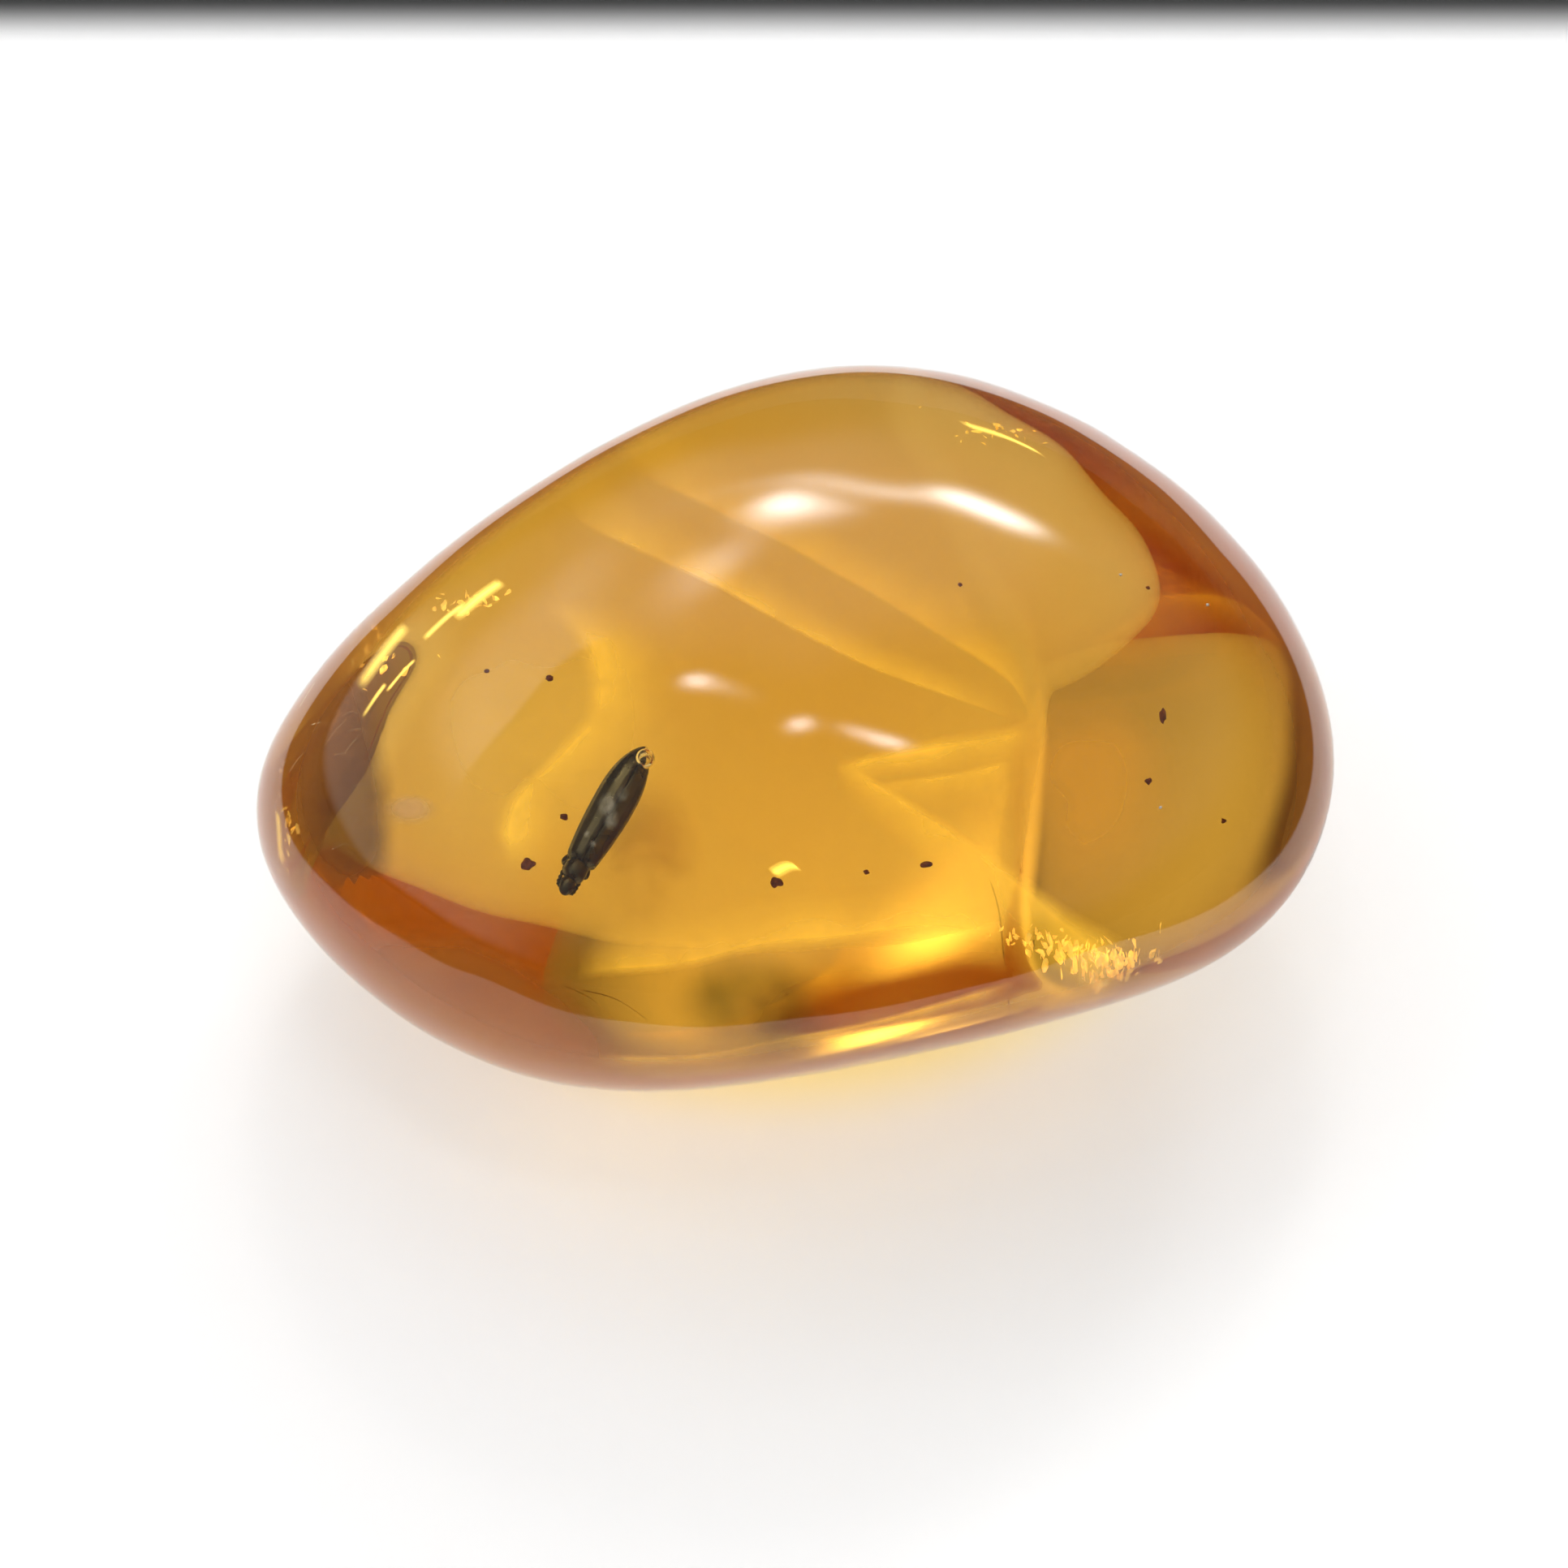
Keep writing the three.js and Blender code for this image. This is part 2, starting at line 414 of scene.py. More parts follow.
# ---- Painted caustic veils ---------------------------------------------------------------------
# Thin golden sheets in the resin, bright along one line and fading away from it. Their glow is
# painted light that stands for lines of lamp light focused through the pebble onto the sheet.
def veil_sheet(near, far, rows=60, columns=16, bow=0.0):
    """A sheet ruled from a smooth path through the near knots to one through the far knots, and
    raised between them by a half sine wave. Returns its points, faces and their (u, v)."""
    near, far = smooth_path(near, rows), smooth_path(far, rows)
    v = np.linspace(0, 1, columns)[None, :, None]
    points = near[:, None] * (1 - v) + far[:, None] * v
    points[..., 2] += bow * np.sin(math.pi * v[..., 0])
    here = (np.arange(rows - 1)[:, None] * columns + np.arange(columns - 1)).ravel()
    faces = np.stack([here, here + columns, here + columns + 1, here + 1], 1)
    u = np.repeat(np.linspace(0, 1, rows), columns)
    return points.reshape(-1, 3), faces, np.stack([u, np.tile(v.ravel(), rows)], 1)


def add_veil(name, sheet, material):
    """A veil as a piece with a UV map that runs along it and across it."""
    points, faces, uv = sheet
    piece = add_piece(name, points, faces, material)
    piece.visible_diffuse = False
    piece.visible_shadow = False
    layer = piece.data.uv_layers.new(name="along_across")
    corner = np.zeros(len(piece.data.loops), int)
    piece.data.loops.foreach_get("vertex_index", corner)
    layer.data.foreach_set("uv", uv[corner].astype(np.float32).ravel())
    return piece


def shifted(knots, *steps):
    """The knots moved by steps that go evenly from the first step to the last."""
    steps = np.asarray(steps, float)
    share = np.linspace(0, 1, len(knots))[:, None]
    return np.asarray(knots, float) + steps[0] * (1 - share) + steps[-1] * share


def at_height(pairs, height):
    """Knots from pairs of x and y, all at one height."""
    return [(x, y, height) for x, y in pairs]


def math_node(tree, operation, *values):
    """A math node's output. Each value is a number or a socket."""
    return add_node(tree, "ShaderNodeMath", dict(enumerate(values)), operation=operation).outputs[0]


def ramp_node(tree, value, start, end, top=1.0, bottom=0.0):
    """A smooth step of a value, from bottom at start to top at end."""
    node = add_node(tree, "ShaderNodeMapRange", {"Value": value}, interpolation_type="SMOOTHSTEP")
    node.inputs["From Min"].default_value = start
    node.inputs["From Max"].default_value = end
    node.inputs["To Min"].default_value = bottom
    node.inputs["To Max"].default_value = top
    return node.outputs["Result"]


def new_group(name, inputs, outputs):
    """A shader node group with float inputs and their plain values, and float outputs."""
    group = bpy.data.node_groups.new(name, "ShaderNodeTree")
    for key, value in inputs.items():
        socket = group.interface.new_socket(key, in_out="INPUT", socket_type="NodeSocketFloat")
        socket.default_value = value
    for key in outputs:
        group.interface.new_socket(key, in_out="OUTPUT", socket_type="NodeSocketFloat")
    return group, add_node(group, "NodeGroupInput").outputs, add_node(group, "NodeGroupOutput").inputs


veil_mask, given, result = new_group(
    "veil_mask", {"Strength": 0.5, "Peak": 0.0, "Sharpness": 2.0, "Grain": 0.5}, ["Mask"])
uv = add_node(veil_mask, "ShaderNodeSeparateXYZ", {0: add_node(veil_mask, "ShaderNodeUVMap").outputs[0]})
along, across = uv.outputs["X"], uv.outputs["Y"]
before = math_node(veil_mask, "DIVIDE", math_node(veil_mask, "SUBTRACT", given["Peak"], across),
                   math_node(veil_mask, "MAXIMUM", given["Peak"], 0.001))
behind = math_node(veil_mask, "DIVIDE", math_node(veil_mask, "SUBTRACT", across, given["Peak"]),
                   math_node(veil_mask, "SUBTRACT", 1.001, given["Peak"]))
away = math_node(veil_mask, "MAXIMUM", before, behind)
near_line = math_node(veil_mask, "POWER", math_node(veil_mask, "MAXIMUM", math_node(
    veil_mask, "SUBTRACT", 1.0, away), 0.0), given["Sharpness"])
ends = math_node(veil_mask, "MULTIPLY", math_node(veil_mask, "MULTIPLY", along, math_node(
    veil_mask, "SUBTRACT", 1.0, along)), 9.0)
ends = math_node(veil_mask, "MINIMUM", ends, 1.0)
place = add_node(veil_mask, "ShaderNodeTexCoord").outputs["Object"]
film = add_node(veil_mask, "ShaderNodeTexNoise", {"Vector": place, "Scale": 800, "Detail": 2})
patchy = add_node(veil_mask, "ShaderNodeMapRange", {"Value": film.outputs["Fac"]})
patchy.inputs["From Min"].default_value = 0.34
patchy.inputs["From Max"].default_value = 0.66
thin = math_node(veil_mask, "SUBTRACT", 1.0, given["Grain"])
share = math_node(veil_mask, "ADD", thin, math_node(
    veil_mask, "MULTIPLY", patchy.outputs[0], given["Grain"]))
whole = math_node(veil_mask, "MULTIPLY", math_node(veil_mask, "MULTIPLY", near_line, ends), share)
veil_mask.links.new(math_node(veil_mask, "MULTIPLY", whole, given["Strength"]), result["Mask"])


def veil_material(name, colour, glow, strength, peak, sharpness, grain=0.5):
    """A thin golden film whose alpha is the veil mask. Its glow is painted light, which keeps it
    bright whatever lamps reach it."""
    material, tree, shader = new_material(name, Roughness=0.6)
    values = {"Strength": strength, "Peak": peak, "Sharpness": sharpness, "Grain": grain}
    mask = add_node(tree, "ShaderNodeGroup", node_tree=veil_mask)
    for key, value in values.items():
        mask.inputs[key].default_value = value
    place = add_node(tree, "ShaderNodeTexCoord").outputs["Object"]
    drift = add_node(tree, "ShaderNodeTexNoise", {"Vector": place, "Scale": 350, "Detail": 0})
    tone = add_node(tree, "ShaderNodeMix", {"Factor": drift.outputs["Fac"]}, data_type="RGBA")
    tone.inputs["A"].default_value = (*(part * 0.82 for part in colour), 1)
    tone.inputs["B"].default_value = (*colour, 1)
    tree.links.new(tone.outputs["Result"], shader.inputs["Base Color"])
    tree.links.new(tone.outputs["Result"], shader.inputs["Emission Color"])
    shader.inputs["Emission Strength"].default_value = glow
    tree.links.new(mask.outputs["Mask"], shader.inputs["Alpha"])
    return material


GOLD = (1.0, 0.70, 0.10)
PALE_GOLD = (1.0, 0.76, 0.16)

curl = at_height([(-5.2, 1.9), (-4.5, 0.9), (-4.3, -0.1), (-4.4, -0.8), (-5.1, -1.6), (-6.1, -2.5),
                  (-6.4, -3.4), (-6.3, -4.4)], 6)
add_veil("painted_caustic_curl", veil_sheet(shifted(curl, (-0.5, 0, 0.1)), shifted(curl, (1.6, 0.3, -0.3)), 90),
         veil_material("curl_film", GOLD, 1.1, 0.6, 0.22, 1.5))
fan = at_height([(-4.8, 3.6), (-2.1, 2.4), (1.3, 0.5), (4.7, -0.8)], 6)
add_veil("painted_caustic_fan_front", veil_sheet(fan, shifted(fan, (0.3, 1.3, 0.2), (0, 0.7, 0)), 80),
         veil_material("fan_front_film", GOLD, 1.1, 0.5, 0.10, 1.6))
fan = at_height([(-3.2, 4.9), (-1.5, 4.2), (1.6, 2.5), (4.3, 0.9), (5.1, -0.2)], 5)
add_veil("painted_caustic_fan_back", veil_sheet(fan, shifted(fan, (0.3, 1.6, 0.2), (0, 0.8, 0)), 80),
         veil_material("fan_back_film", GOLD, 1.1, 0.4, 0.10, 1.6))
low_arm = at_height([(0.8, -1.2), (2.9, -2.5), (4.7, -3.7), (6.2, -4.6), (7.6, -5.0)], 5)
add_veil("painted_caustic_arm_low", veil_sheet(shifted(low_arm, (0, 0.25, 0)), shifted(
    low_arm, (0.0, -0.7, -0.1), (-1.2, -1.3, -0.5)), 80),
         veil_material("arm_low_film", GOLD, 1.1, 0.7, 0.18, 1.2))
high_arm = at_height([(0.8, -1.6), (2.4, -1.2), (3.8, -0.9), (5.1, -0.7)], 5.5)
add_veil("painted_caustic_arm_high", veil_sheet(shifted(high_arm, (0, 0.2, 0)), shifted(
    high_arm, (0.0, -0.5, -0.1), (0, -0.7, -0.3)), 60),
         veil_material("arm_high_film", GOLD, 1.1, 0.7, 0.3, 1.4))
second = at_height([(1.7, -1.6), (3.1, -1.3), (4.7, -1.0)], 5)
add_veil("painted_caustic_arm_second", veil_sheet(second, shifted(second, (0.2, -0.9, 0)), 50),
         veil_material("arm_second_film", GOLD, 1.1, 0.5, 0.15, 1.5))
front_edge = at_height([(-4.6, -3.3), (-2.4, -3.1), (0.2, -2.8), (2.4, -2.5), (4.4, -2.3)], 2)
add_veil("painted_caustic_front_edge", veil_sheet(front_edge, shifted(front_edge, (0, 0.9, 0.1)), 80),
         veil_material("front_edge_film", PALE_GOLD, 1.1, 0.6, 0.15, 1.4))
right_edge = at_height([(4.6, -0.2), (4.3, -1.4), (4.4, -2.5)], 3)
add_veil("painted_caustic_right_edge", veil_sheet(right_edge, shifted(right_edge, (-1.1, 0, 0.1)), 50),
         veil_material("right_edge_film", PALE_GOLD, 1.1, 0.25, 0.1, 1.4))


# ---- Cloud veils -------------------------------------------------------------------------------
# Broad milky films lying in the resin, with soft edges: pale over the left half and warm towards
# the right side. A dark smoky sheet low in front is painted shade, a blur that stands for the
# beetle seen a second time, and a small brown sheet by the beetle is its painted shadow. A pale
# smudge lies near the left end.
cloud_mask, given, result = new_group(
    "cloud_mask", {"Strength": 0.4, "Lumps": 300.0, "Cut": 0.3}, ["Mask"])
uv = add_node(cloud_mask, "ShaderNodeUVMap").outputs[0]
middle = add_node(cloud_mask, "ShaderNodeVectorMath", {0: uv, 1: (0.5, 0.5, 0)}, operation="DISTANCE")
rim = add_node(cloud_mask, "ShaderNodeMapRange", {"Value": middle.outputs["Value"]},
               interpolation_type="SMOOTHSTEP")
rim.inputs["From Min"].default_value = 0.5
rim.inputs["From Max"].default_value = 0.12
place = add_node(cloud_mask, "ShaderNodeTexCoord").outputs["Object"]
puffs = add_node(cloud_mask, "ShaderNodeTexNoise", {"Vector": place, "Scale": given["Lumps"], "Detail": 2})
body = math_node(cloud_mask, "SUBTRACT", puffs.outputs["Fac"], given["Cut"])
body = math_node(cloud_mask, "MINIMUM", math_node(cloud_mask, "MAXIMUM", math_node(
    cloud_mask, "MULTIPLY", body, 3.0), 0.0), 1.0)
whole = math_node(cloud_mask, "MULTIPLY", math_node(cloud_mask, "MULTIPLY", rim.outputs[0], body),
                  given["Strength"])
cloud_mask.links.new(whole, result["Mask"])


def cloud_material(name, colour, glow, strength, lumps, cut):
    """A soft film whose alpha is the cloud mask. Its glow is painted light."""
    material, tree, shader = new_material(name, Roughness=0.8)
    mask = add_node(tree, "ShaderNodeGroup", node_tree=cloud_mask)
    for key, value in {"Strength": strength, "Lumps": lumps, "Cut": cut}.items():
        mask.inputs[key].default_value = value
    shader.inputs["Base Color"].default_value = (*colour, 1)
    shader.inputs["Emission Color"].default_value = (*colour, 1)
    shader.inputs["Emission Strength"].default_value = glow
    tree.links.new(mask.outputs["Mask"], shader.inputs["Alpha"])
    return material


def cloud_sheet(middle, half_x, half_y, rise=0.0):
    """A gently domed sheet of these half lengths lying flat about its middle."""
    x, y, z = middle
    near = [(x - half_x, y - half_y, z), (x, y - half_y, z + rise), (x + half_x, y - half_y, z)]
    far = [(x - half_x, y + half_y, z), (x, y + half_y, z + rise), (x + half_x, y + half_y, z)]
    return veil_sheet(near, far, 24, 24, rise)


add_veil("pale_cloud", cloud_sheet((-5.6, -0.4, 5.0), 4.4, 5.6, 0.4),
         cloud_material("pale_film", (1.0, 0.80, 0.26), 0.5, 0.4, 220, 0.22))
add_veil("warm_cloud", cloud_sheet((6.2, -2.6, 6.0), 3.0, 3.4, 0.3),
         cloud_material("warm_film", (1.0, 0.52, 0.06), 0.45, 0.45, 260, 0.25))
# Painted shade: a dark blur low in front, where the beetle shows a second time.
add_veil("painted_shade_smudge", cloud_sheet((-1.1, -6.3, 4.5), 2.0, 1.3, 0.2),
         cloud_material("painted_shade_film", (0.17, 0.17, 0.04), 0.0, 0.70, 420, 0.10))
# Painted shadow: a brown blur beside the beetle.
add_veil("beetle_painted_shadow", cloud_sheet((-3.5, -5.0, 7.2), 1.5, 2.3, 0.2),
         cloud_material("beetle_shadow_film", (0.60, 0.27, 0.03), 0.30, 0.5, 500, 0.22))
add_veil("pale_smudge", cloud_sheet((-9.1, -4.3, 8.2), 0.8, 0.5, 0.1),
         cloud_material("smudge_film", (1.0, 0.70, 0.45), 0.2, 0.6, 900, 0.2))


# ---- Painted golden glints ---------------------------------------------------------------------
# Small films just under the surface whose glow is a painted glint of lamp light: along the left
# shoulder, at the top and at the left end, with one fleck beside the speck in front of the beetle.
def hair(start, end, width):
    """A narrow ribbon between two points, drawn out to points by its veil mask."""
    start, end = np.array(start, float), np.array(end, float)
    bend = (start + end) / 2 + [0.05, 0.08, 0.03]
    path = [start, bend, end]
    return veil_sheet(path, shifted(path, (width * 0.7, -width * 0.7, 0)), 20, 5)


painted_glint_film = veil_material("painted_glint_film", (1.0, 0.72, 0.14), 2.4, 1.0, 0.5, 1.1, 0.25)
for number, (start, end, width) in enumerate([
        ((-10.9, -1.7, 10.0), (-9.7, -0.4, 10.8), 0.50), ((-9.2, -1.2, 11.2), (-8.2, -0.5, 11.7), 0.22),
        ((-8.5, -0.8, 11.6), (-7.3, 0.1, 11.8), 0.42), ((3.9, 5.3, 11.2), (5.9, 4.6, 11.1), 0.50),
        ((-12.65, -4.0, 6.1), (-12.7, -3.1, 6.9), 0.40), ((-10.6, -2.6, 9.8), (-10.0, -1.9, 10.2), 0.15),
        ((-10.0, -2.2, 10.3), (-9.3, -1.6, 10.8), 0.12), ((-0.75, -5.95, 8.3), (-0.15, -5.75, 8.3), 0.45)]):
    add_veil(f"glint_{number + 1}", hair(start, end, width), painted_glint_film)


# ---- Hair cracks -------------------------------------------------------------------------------
# Fine cracks that healed in the resin, each a narrow ribbon drawn out to points: pale hairs in
# the brown left rim, and darker ones low in front and at the right.
PALE_HAIRS = 16
PALE_HAIR_MIDDLE = np.array([-11.3, -2.4, 8.6])
PALE_HAIR_SPREAD = [0.8, 1.2, 0.5]
PALE_HAIR_WIDTH = 0.045
DARK_HAIR_WIDTH = 0.09

# The pale hairs glow by painted light; the dark ones do not glow.
pale_hair = veil_material("pale_hair", (1.0, 0.80, 0.45), 0.9, 0.9, 0.5, 1.0, 0.2)
dark_hair = veil_material("dark_hair", (0.28, 0.11, 0.02), 0.0, 0.9, 0.5, 1.0, 0.2)
chance = np.random.default_rng(7)
for number in range(PALE_HAIRS):
    start = PALE_HAIR_MIDDLE + chance.normal(size=3) * PALE_HAIR_SPREAD
    reach = chance.uniform(0.25, 0.9) * np.array([1.0, chance.normal() * 0.6, 0.2])
    add_veil(f"pale_hair_{number + 1}", hair(start, start + reach, PALE_HAIR_WIDTH), pale_hair)
for number, (start, end) in enumerate([
        ((4.4, -4.4, 4.0), (4.1, -3.0, 4.0)), ((-5.2, -5.2, 4.0), (-3.9, -6.1, 4.0)),
        ((-4.9, -5.9, 4.6), (-3.4, -6.5, 4.6)), ((6.4, -5.3, 4.8), (7.6, -4.6, 4.8)),
        ((5.2, -4.9, 4.8), (5.0, -3.9, 4.8))]):
    add_veil(f"dark_hair_{number + 1}", hair(start, end, DARK_HAIR_WIDTH), dark_hair)


# ---- Painted sheen on the beetle ---------------------------------------------------------------
# Greyish patches on the beetle's back, a painted sheen that stands for lamp light reflected by
# the pebble's polish over the black back: one broad patch across the middle and two dots towards
# the front.
painted_sheen_film = cloud_material("painted_sheen_film", (0.50, 0.54, 0.66), 0.30, 0.70, 2600, 0.30)
for number, (along, side, long, wide) in enumerate([
        (1.75, 0.16, 0.34, 0.26), (2.0, -0.12, 0.28, 0.22), (1.35, 0.0, 0.22, 0.2),
        (2.75, -0.02, 0.12, 0.10), (2.62, 0.22, 0.12, 0.09)]):
    points, faces, uv = cloud_sheet((0, 0, 0), long, wide)
    points = points + [along, side, 0.47]
    add_veil(f"painted_sheen_{number + 1}", (placed(points), faces, uv), painted_sheen_film)


# ---- Painted rim shade -------------------------------------------------------------------------
# A thin skin just under the polish, coloured deep orange with a faint glow: painted shade that
# stands for the longer way light runs through the resin near the edge. It is nearly clear when
# looked through squarely and shows as an orange border where the surface turns away.
RIM_SHADE_GRID = 60
RIM_SHADE_MIDDLE = np.array([0, 0, 6.5])
RIM_SHADE_SHRINK = 0.975
PATCH_SHRINK = 0.99

rim_shade_film, tree, shader = new_material("painted_rim_shade", Roughness=0.7)
facing_away = add_node(tree, "ShaderNodeLayerWeight").outputs["Facing"]
border = ramp_node(tree, facing_away, 0.10, 0.27, 0.85)
surface = add_node(tree, "ShaderNodeNewGeometry").outputs
leaning = add_node(tree, "ShaderNodeSeparateXYZ", {0: surface["Normal"]}).outputs
kept = math_node(tree, "MAXIMUM", ramp_node(tree, leaning["Z"], -0.25, 0.0), ramp_node(
    tree, leaning["Y"], -0.30, -0.55))
kept = math_node(tree, "MULTIPLY", kept, ramp_node(tree, leaning["Z"], 0.85, 0.72))
cover = math_node(tree, "MULTIPLY", border, math_node(tree, "SUBTRACT", 1.0, surface["Backfacing"]))
cover = math_node(tree, "MULTIPLY", cover, kept)
place = add_node(tree, "ShaderNodeTexCoord").outputs["Object"]
patches = add_node(tree, "ShaderNodeTexNoise", {"Vector": place, "Scale": 180, "Detail": 1})
tone = add_node(tree, "ShaderNodeMix", {"Factor": patches.outputs["Fac"]}, data_type="RGBA")
tone.inputs["A"].default_value = (0.62, 0.17, 0.01, 1)
tone.inputs["B"].default_value = (0.85, 0.32, 0.02, 1)
tree.links.new(tone.outputs["Result"], shader.inputs["Base Color"])
tree.links.new(tone.outputs["Result"], shader.inputs["Emission Color"])
shader.inputs["Emission Strength"].default_value = 0.15
tree.links.new(cover, shader.inputs["Alpha"])
sphere, quads = sphere_grid(RIM_SHADE_GRID)
skin = pebble_surface(sphere)
skin = RIM_SHADE_MIDDLE + (skin - RIM_SHADE_MIDDLE) * RIM_SHADE_SHRINK
tilt = np.cross(skin[quads[:, 2]] - skin[quads[:, 0]], skin[quads[:, 3]] - skin[quads[:, 1]])
tilt /= np.linalg.norm(tilt, axis=1, keepdims=True)
# The painted shade is left off the top and off the flats of the underside.
shade_left_off = (tilt[:, 2] > 0.86) | ((tilt[:, 2] < -0.27) & (tilt[:, 1] > -0.28)) | (tilt[:, 2] < -0.9)
add_piece("rim_shade_skin", skin, quads[~shade_left_off], rim_shade_film)


def rim_shade_patch(name, centre, half, dark, light, cover, glow):
    """A thicker stretch of painted shade with a faint painted glow: the part of the inner skin within
    an ellipsoid round a point, whose alpha falls smoothly to nothing at the ellipsoid."""
    material, tree, shader = new_material(name + "_film", Roughness=0.7)
    place = add_node(tree, "ShaderNodeTexCoord").outputs["Object"]
    centre, half = np.array(centre), np.array(half)
    away = add_node(tree, "ShaderNodeVectorMath", {0: place, 1: centre * MM}, operation="SUBTRACT")
    away = add_node(tree, "ShaderNodeVectorMath", {0: away.outputs[0], 1: half * MM}, operation="DIVIDE")
    away = add_node(tree, "ShaderNodeVectorMath", {0: away.outputs[0]}, operation="LENGTH")
    mottle = add_node(tree, "ShaderNodeTexNoise", {"Vector": place, "Scale": 420, "Detail": 2})
    ragged = math_node(tree, "MULTIPLY", mottle.outputs["Fac"], 0.35)
    ragged = math_node(tree, "ADD", away.outputs["Value"], ragged)
    tone = add_node(tree, "ShaderNodeMix", {"Factor": mottle.outputs["Fac"]}, data_type="RGBA")
    tone.inputs["A"].default_value = (*dark, 1)
    tone.inputs["B"].default_value = (*light, 1)
    tree.links.new(tone.outputs["Result"], shader.inputs["Base Color"])
    tree.links.new(tone.outputs["Result"], shader.inputs["Emission Color"])
    shader.inputs["Emission Strength"].default_value = glow
    tree.links.new(ramp_node(tree, ragged, 1.15, 0.75, cover), shader.inputs["Alpha"])
    inner_skin = RIM_SHADE_MIDDLE + (skin - RIM_SHADE_MIDDLE) * PATCH_SHRINK
    reach = np.linalg.norm((inner_skin[quads].mean(1) - centre) / half, axis=1)
    add_piece(name, inner_skin, quads[reach < 1.25], material)


# Thicker painted shade: orange at the back and at the front left, dark brown at the left end.
rim_shade_patch("rim_shade_back", (0.9, 10.5, 8.5), (3.3, 4.0, 3.3), (0.80, 0.34, 0.03), (0.95, 0.50, 0.05), 0.95, 0.2)
rim_shade_patch("rim_shade_left", (-11.0, -3.4, 8.8), (1.9, 4.2, 2.3), (0.16, 0.05, 0.01), (0.42, 0.17, 0.03),
           0.80, 0.1)
rim_shade_patch("rim_shade_front_left", (-7.8, -9.0, 6.0), (4.6, 3.4, 3.2), (0.50, 0.13, 0.01), (0.75, 0.27, 0.02),
           0.85, 0.2)


# ---- Gold flakes -------------------------------------------------------------------------------
# Little internal cracks that catch the light as golden chips: a crumbly group low on the right,
# a few in the left rim, and single ones elsewhere.
CHIPS = [
    # middle of the group, its spread, number of chips, and their size
    ((4.9, -5.5, 5.8), (0.35, 0.16, 0.1), 14, 0.08),
    ((5.9, -5.75, 5.8), (0.40, 0.18, 0.1), 36, 0.10),
    ((6.8, -5.95, 5.8), (0.40, 0.20, 0.1), 60, 0.12),
    ((7.7, -5.95, 5.8), (0.40, 0.16, 0.1), 50, 0.11),
    ((-7.5, 0.6, 9.0), (0.5, 0.15, 0.1), 24, 0.11),
    ((-9.7, 0.0, 7.5), (0.7, 0.3, 0.1), 30, 0.12),
    ((-11.5, -2.4, 5.2), (0.2, 0.5, 0.3), 24, 0.10),
    ((4.6, 5.5, 9.0), (0.8, 0.2, 0.1), 24, 0.11),
]


def chip_cloud(middle, spread, count, size, seed):
    """Chips thrown round a point by a normal law. Each is a dished disc of eight points, turned
    at random, with its radius and its lengths varied. Returns all points and faces."""
    chance = np.random.default_rng(seed)
    angle = np.linspace(0, 2 * math.pi, 8, endpoint=False)
    disc = np.stack([np.cos(angle), np.sin(angle) * 0.6, np.sin(2 * angle) * 0.12], 1)
    disc = np.vstack([[[0, 0, -0.1]], disc])
    axes = np.linalg.qr(chance.normal(size=(count, 3, 3)))[0]
    scale = size * chance.uniform(0.35, 1.2, (count, 1, 1))
    points = (disc * scale * chance.uniform(0.7, 1.3, (count, 9, 1))) @ axes
    points += (middle + chance.normal(size=(count, 3)) * spread)[:, None]
    here = np.arange(8)
    fan = np.stack([np.zeros(8, int), here + 1, (here + 1) % 8 + 1], 1)
    faces = fan[None] + np.arange(count)[:, None, None] * 9
    return points.reshape(-1, 3), faces.reshape(-1, 3)


crack_gold, tree, shader = new_material("crack_gold", Metallic=1.0)
place = add_node(tree, "ShaderNodeTexCoord").outputs["Object"]
glitter = add_node(tree, "ShaderNodeTexNoise", {"Vector": place, "Scale": 4000, "Detail": 2})
tone = add_node(tree, "ShaderNodeMix", {"Factor": glitter.outputs["Fac"]}, data_type="RGBA")
tone.inputs["A"].default_value = (0.75, 0.36, 0.03, 1)
tone.inputs["B"].default_value = (1.0, 0.80, 0.22, 1)
tree.links.new(tone.outputs["Result"], shader.inputs["Base Color"])
tree.links.new(tone.outputs["Result"], shader.inputs["Emission Color"])
# The chips also glow by painted light, on top of what their metal mirrors.
shader.inputs["Emission Strength"].default_value = 0.9
rough = add_node(tree, "ShaderNodeMapRange", {"Value": glitter.outputs["Fac"]})
rough.inputs["To Min"].default_value = 0.15
rough.inputs["To Max"].default_value = 0.5
tree.links.new(rough.outputs["Result"], shader.inputs["Roughness"])
for number, (middle, spread, count, size) in enumerate(CHIPS):
    points, faces = chip_cloud(middle, spread, count, size, 70 + number)
    add_piece(f"gold_chips_{number + 1}", points, faces, crack_gold, smooth=False)


# ---- Surface dust ------------------------------------------------------------------------------
# Three pale crumbs of dust that lie loose on the polish.
# Each is a small rough ball of a few faces.
DUST_SPOTS = [(8.10, 0.26, 12.13), (8.98, -5.64, 10.37), (10.34, 0.28, 10.87)]
DUST_HALF = (0.045, 0.035, 0.03)

dust, tree, shader = new_material("pale_dust", Roughness=0.9)
place = add_node(tree, "ShaderNodeTexCoord").outputs["Object"]
fluff = add_node(tree, "ShaderNodeTexNoise", {"Vector": place, "Scale": 20000, "Detail": 2})
tone = add_node(tree, "ShaderNodeMix", {"Factor": fluff.outputs["Fac"]}, data_type="RGBA")
tone.inputs["A"].default_value = (0.60, 0.55, 0.45, 1)
tone.inputs["B"].default_value = (0.95, 0.93, 0.88, 1)
tree.links.new(tone.outputs["Result"], shader.inputs["Base Color"])
small_ball, small_quads = sphere_grid(3)
for number, spot in enumerate(DUST_SPOTS):
    crumb_of_dust = grain_surface(small_ball, spot, DUST_HALF, 90 + number)
    add_piece(f"dust_{number + 1}", crumb_of_dust, small_quads, dust)


